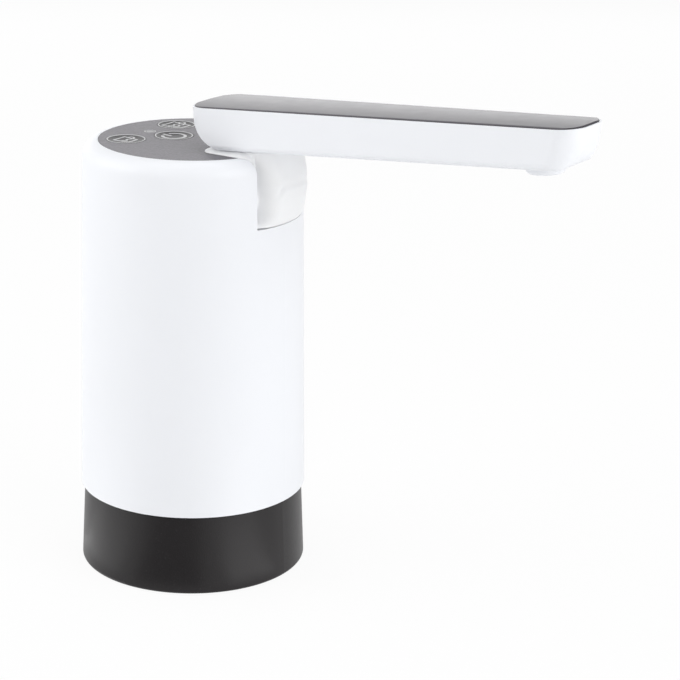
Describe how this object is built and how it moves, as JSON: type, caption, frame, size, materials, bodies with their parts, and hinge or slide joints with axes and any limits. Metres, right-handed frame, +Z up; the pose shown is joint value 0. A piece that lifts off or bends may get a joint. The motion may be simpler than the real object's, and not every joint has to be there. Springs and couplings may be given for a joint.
{
  "type": "electric water jug pump",
  "caption": "Round battery water pump that stands on a jug's neck, with push buttons on top and a spout arm that folds down beside the body.",
  "frame": {"origin": "centre of the jug-neck socket at the foot of the collar", "axes": "+X along the open spout arm, +Z up the body's axis, +Y to the side, along the hinge pin"},
  "size_m": [0.1824, 0.076, 0.1703],
  "materials": {
    "white_shell": "satin moulded white",
    "dark_collar": "satin moulded black",
    "dark_panel": "fine grain",
    "dark_button": "fine grain, light printed mark",
    "clear_lens": "clear",
    "dark_cover": "satin moulded dark grey",
    "white_silicone": "matt soft",
    "clear_hose": "milky",
    "black_rubber": "matt",
    "grey_moulding": "moulded",
    "dark_moulding": "moulded",
    "gear_resin": "moulded",
    "bright_steel": "turned",
    "magnet": "sintered",
    "wound_core": "lacquered wire on a core",
    "terminal_brass": "stamped",
    "circuit_board": "solder mask",
    "chip_black": "moulded",
    "led_body": "clear resin",
    "cell_wrap": "shrink wrap"
  },
  "bodies": {
    "body": {"body_shell": "white_shell", "intake_spigot": "white_shell", "base_collar": "dark_collar", "control_panel": "dark_panel", "indicator_lens": "clear_lens", "hinge_boot": "white_silicone", "hinge_gasket": "white_silicone", "neck_seal": "white_silicone", "intake_hose": "clear_hose", "riser_hose": "clear_hose", "hinge_hose": "clear_hose", "shaft_seal": "black_rubber", "pump_gasket": "black_rubber", "inner_floor": "grey_moulding", "pocket_spigot": "grey_moulding", "pump_cover": "grey_moulding", "pump_housing": "grey_moulding", "motor_end_cap": "grey_moulding", "pump_cradle": "dark_moulding", "battery_cradle": "dark_moulding", "friction_washers": "dark_moulding", "collar_screws": "bright_steel", "board_screws": "bright_steel", "pump_screws": "bright_steel", "hinge_pin": "bright_steel", "idler_pin": "bright_steel", "motor_can": "bright_steel", "charging_socket": "bright_steel", "motor_magnets": "magnet", "motor_terminals": "terminal_brass", "button_board": "circuit_board", "main_board": "circuit_board", "charge_board": "circuit_board", "tact_switches": "chip_black", "board_parts": "chip_black", "status_led": "led_body", "battery_cell": "cell_wrap"},
    "arm": {"arm_tray": "white_shell", "arm_cover": "dark_cover", "arm_knuckle": "white_shell", "knuckle_screws": "bright_steel", "arm_elbow": "grey_moulding", "arm_hose": "clear_hose", "spout_fitting": "grey_moulding", "spout_nozzle": "white_shell"},
    "power_button": {"power_button": "dark_button"},
    "small_cup_button": {"small_cup_button": "dark_button"},
    "large_cup_button": {"large_cup_button": "dark_button"},
    "rotor": {"motor_shaft": "bright_steel", "motor_armature": "wound_core", "drive_gear": "gear_resin"},
    "idler": {"idler_gear": "gear_resin"}
  },
  "joints": [
    {"name": "arm_fold", "type": "hinge", "parent": "body", "child": "arm", "pos_m": [0.0275, 0, 0.132], "axis": [0, 1, 0], "range_deg": [0, 94.4], "deforming": ["hinge_boot", "hinge_hose"]},
    {"name": "power_button_press", "type": "slide", "parent": "body", "child": "power_button", "axis": [0, 0, -1], "range_m": [0, 0.0005], "stiffness_N_per_m": 600, "springref_m": -0.001},
    {"name": "small_cup_button_press", "type": "slide", "parent": "body", "child": "small_cup_button", "axis": [0, 0, -1], "range_m": [0, 0.0005], "stiffness_N_per_m": 600, "springref_m": -0.001},
    {"name": "large_cup_button_press", "type": "slide", "parent": "body", "child": "large_cup_button", "axis": [0, 0, -1], "range_m": [0, 0.0005], "stiffness_N_per_m": 600, "springref_m": -0.001},
    {"name": "rotor_spin", "type": "hinge", "parent": "body", "child": "rotor", "pos_m": [0.0034, 0.004, 0.06], "axis": [0, 0, 1], "continuous": true},
    {"name": "idler_spin", "type": "hinge", "parent": "body", "child": "idler", "pos_m": [0.0034, -0.004, 0.044], "axis": [0, 0, 1], "continuous": true}
  ],
  "couplings": [
    {"joint": "idler_spin", "follows": "rotor_spin", "ratio": -1}
  ]
}
